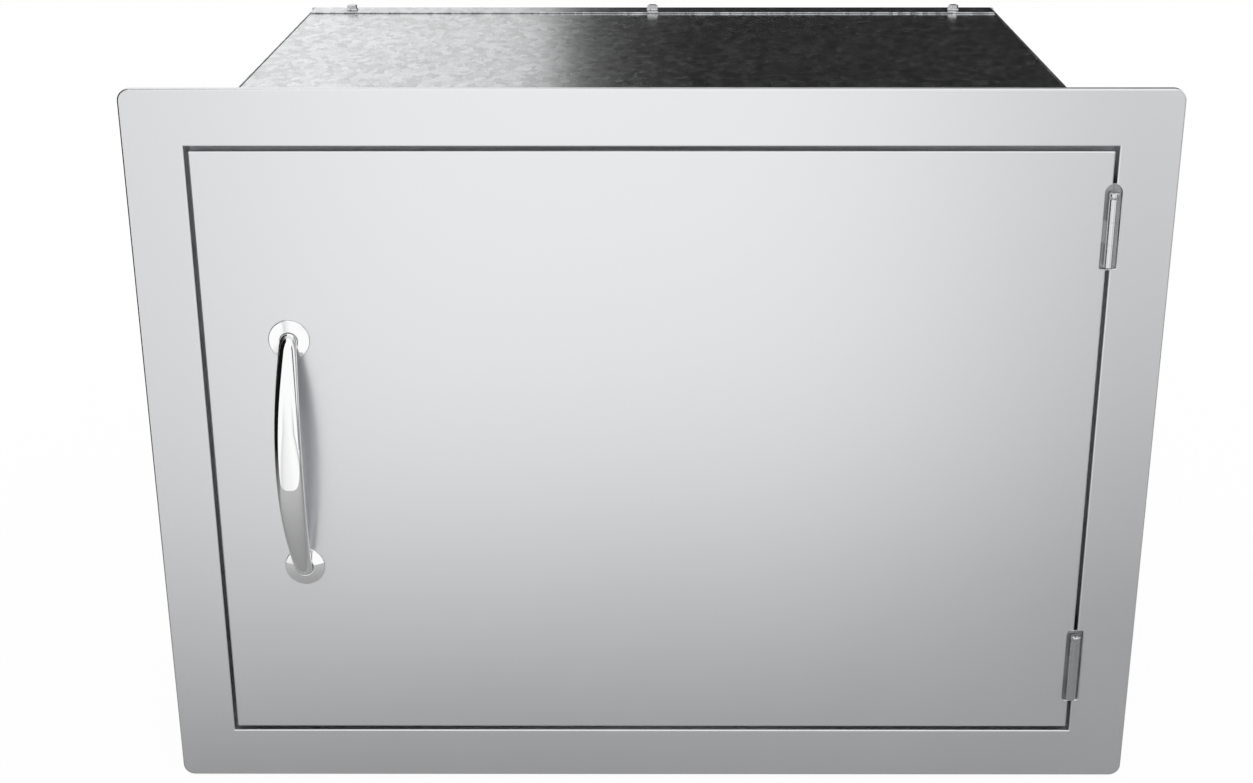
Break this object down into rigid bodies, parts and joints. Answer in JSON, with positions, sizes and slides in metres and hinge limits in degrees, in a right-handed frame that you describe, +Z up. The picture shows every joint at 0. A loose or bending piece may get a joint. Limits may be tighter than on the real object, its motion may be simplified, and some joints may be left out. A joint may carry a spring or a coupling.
{
  "type": "built-in dry storage pantry cabinet",
  "caption": "Built-in stainless pantry cabinet with a flush side-hinged door, bow handle, flanged face frame and a galvanised box with a shelf behind it.",
  "frame": {"origin": "middle of the bottom edge of the flange's lip, on its rear rim, where the cabinet rests against the surround", "axes": "+X to the viewer's right, +Y into the surround and along the box's depth, +Z up"},
  "size_m": [0.6858, 0.5492, 0.508],
  "materials": {
    "satin_stainless": "fine satin, slightly soft reflections",
    "polished_chrome": "mirror polished",
    "galvanised_sheet": "galvanised, fine mottled spangle",
    "zinc_plated_steel": "bright zinc plating",
    "gasket_rubber": "matt black",
    "catch_plastic": "off-white, fine moulded grain",
    "magnet_steel": "dark grey, ground"
  },
  "bodies": {
    "cabinet": {"face_frame": "satin_stainless", "top_panel": "galvanised_sheet", "bottom_panel": "galvanised_sheet", "left_side_panel": "galvanised_sheet", "right_side_panel": "galvanised_sheet", "back_panel": "galvanised_sheet", "back_screw_top_left": "zinc_plated_steel", "back_screw_top_middle": "zinc_plated_steel", "back_screw_top_right": "zinc_plated_steel", "back_screw_bottom_left": "zinc_plated_steel", "back_screw_bottom_middle": "zinc_plated_steel", "back_screw_bottom_right": "zinc_plated_steel", "back_screw_left_lower": "zinc_plated_steel", "back_screw_left_upper": "zinc_plated_steel", "back_screw_right_lower": "zinc_plated_steel", "back_screw_right_upper": "zinc_plated_steel", "shelf": "galvanised_sheet", "shelf_rail_left": "galvanised_sheet", "shelf_rail_right": "galvanised_sheet", "door_gasket": "gasket_rubber", "hinge_frame_leaf_upper": "satin_stainless", "hinge_frame_leaf_lower": "satin_stainless", "hinge_pin_upper": "satin_stainless", "hinge_pin_lower": "satin_stainless", "catch_housing_upper": "catch_plastic", "catch_housing_lower": "catch_plastic", "catch_magnet_upper": "magnet_steel", "catch_magnet_lower": "magnet_steel", "catch_screw_upper_top": "zinc_plated_steel", "catch_screw_upper_bottom": "zinc_plated_steel", "catch_screw_lower_top": "zinc_plated_steel", "catch_screw_lower_bottom": "zinc_plated_steel"},
    "door": {"door_outer_panel": "satin_stainless", "door_inner_panel": "satin_stainless", "handle_bar": "polished_chrome", "handle_rosette_upper": "polished_chrome", "handle_rosette_lower": "polished_chrome", "handle_screw_upper": "zinc_plated_steel", "handle_screw_lower": "zinc_plated_steel", "hinge_door_leaf_upper": "satin_stainless", "hinge_door_leaf_lower": "satin_stainless", "strike_plate_upper": "zinc_plated_steel", "strike_plate_lower": "zinc_plated_steel", "strike_screw_upper_top": "zinc_plated_steel", "strike_screw_upper_bottom": "zinc_plated_steel", "strike_screw_lower_top": "zinc_plated_steel", "strike_screw_lower_bottom": "zinc_plated_steel"}
  },
  "joints": [
    {"name": "door_hinge", "type": "hinge", "parent": "cabinet", "child": "door", "pos_m": [0.3016, -0.00625, 0.2535], "axis": [0, 0, 1], "range_deg": [0, 170]}
  ]
}
